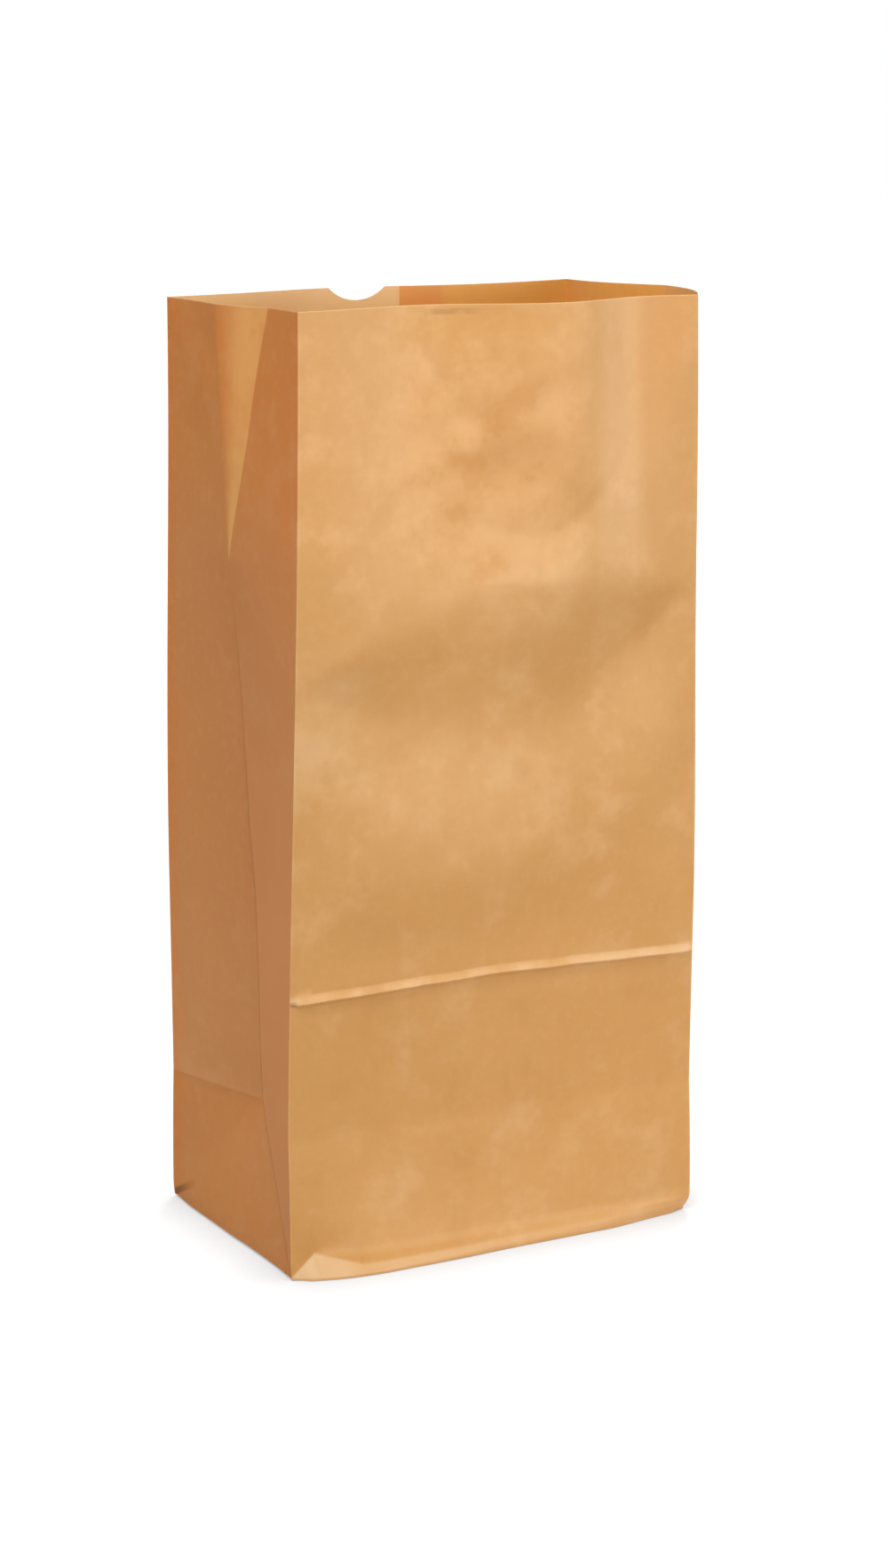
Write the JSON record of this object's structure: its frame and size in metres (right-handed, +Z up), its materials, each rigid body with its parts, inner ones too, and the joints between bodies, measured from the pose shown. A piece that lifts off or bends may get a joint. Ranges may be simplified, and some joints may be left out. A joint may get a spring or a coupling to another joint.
{
  "type": "paper lunch bag",
  "caption": "Open kraft paper lunch bag with folded side gussets, a glued flat base and a thumb notch in the rear rim.",
  "frame": {"origin": "middle of the underside of the base, where it rests", "axes": "+Z up towards the open rim, +X along the broad panels, -Y out of the front panel, +Y out of the rear panel with the thumb notch"},
  "size_m": [0.1431, 0.0902, 0.2704],
  "materials": {
    "kraft_paper": "brown kraft paper, machine-finished, with a faint sheen and soft creases"
  },
  "bodies": {
    "root": {"paper_bag": "kraft_paper"}
  },
  "joints": []
}
